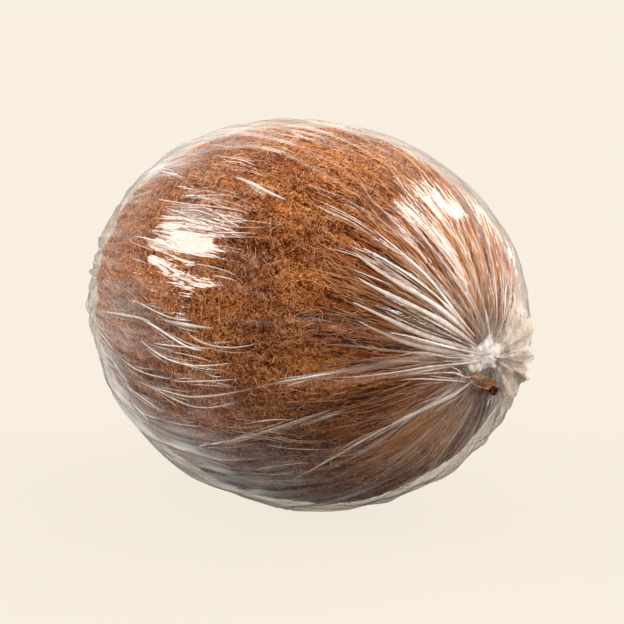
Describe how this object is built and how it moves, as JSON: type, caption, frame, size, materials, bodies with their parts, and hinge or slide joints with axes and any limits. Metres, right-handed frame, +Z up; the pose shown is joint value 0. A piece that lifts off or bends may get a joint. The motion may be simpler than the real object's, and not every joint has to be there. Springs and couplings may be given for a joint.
{
  "type": "coconut",
  "caption": "Whole brown coconut in its fibre coat, lying on its side in clear shrink film that is gathered in pleats at the stem end.",
  "frame": {"origin": "on the surface that the wrapped nut lies on, under the middle of its box", "axes": "+Z up, +X along the nut's long axis towards the stem end, where the film is gathered"},
  "size_m": [0.1306, 0.1014, 0.1004],
  "materials": {
    "fibre_coat": "rough, matted and combed brown fibre",
    "clear_film": "clear glossy shrink film, milky where its layers bunch"
  },
  "bodies": {
    "root": {"coconut": "fibre_coat", "film_wrap": "clear_film"}
  },
  "joints": []
}
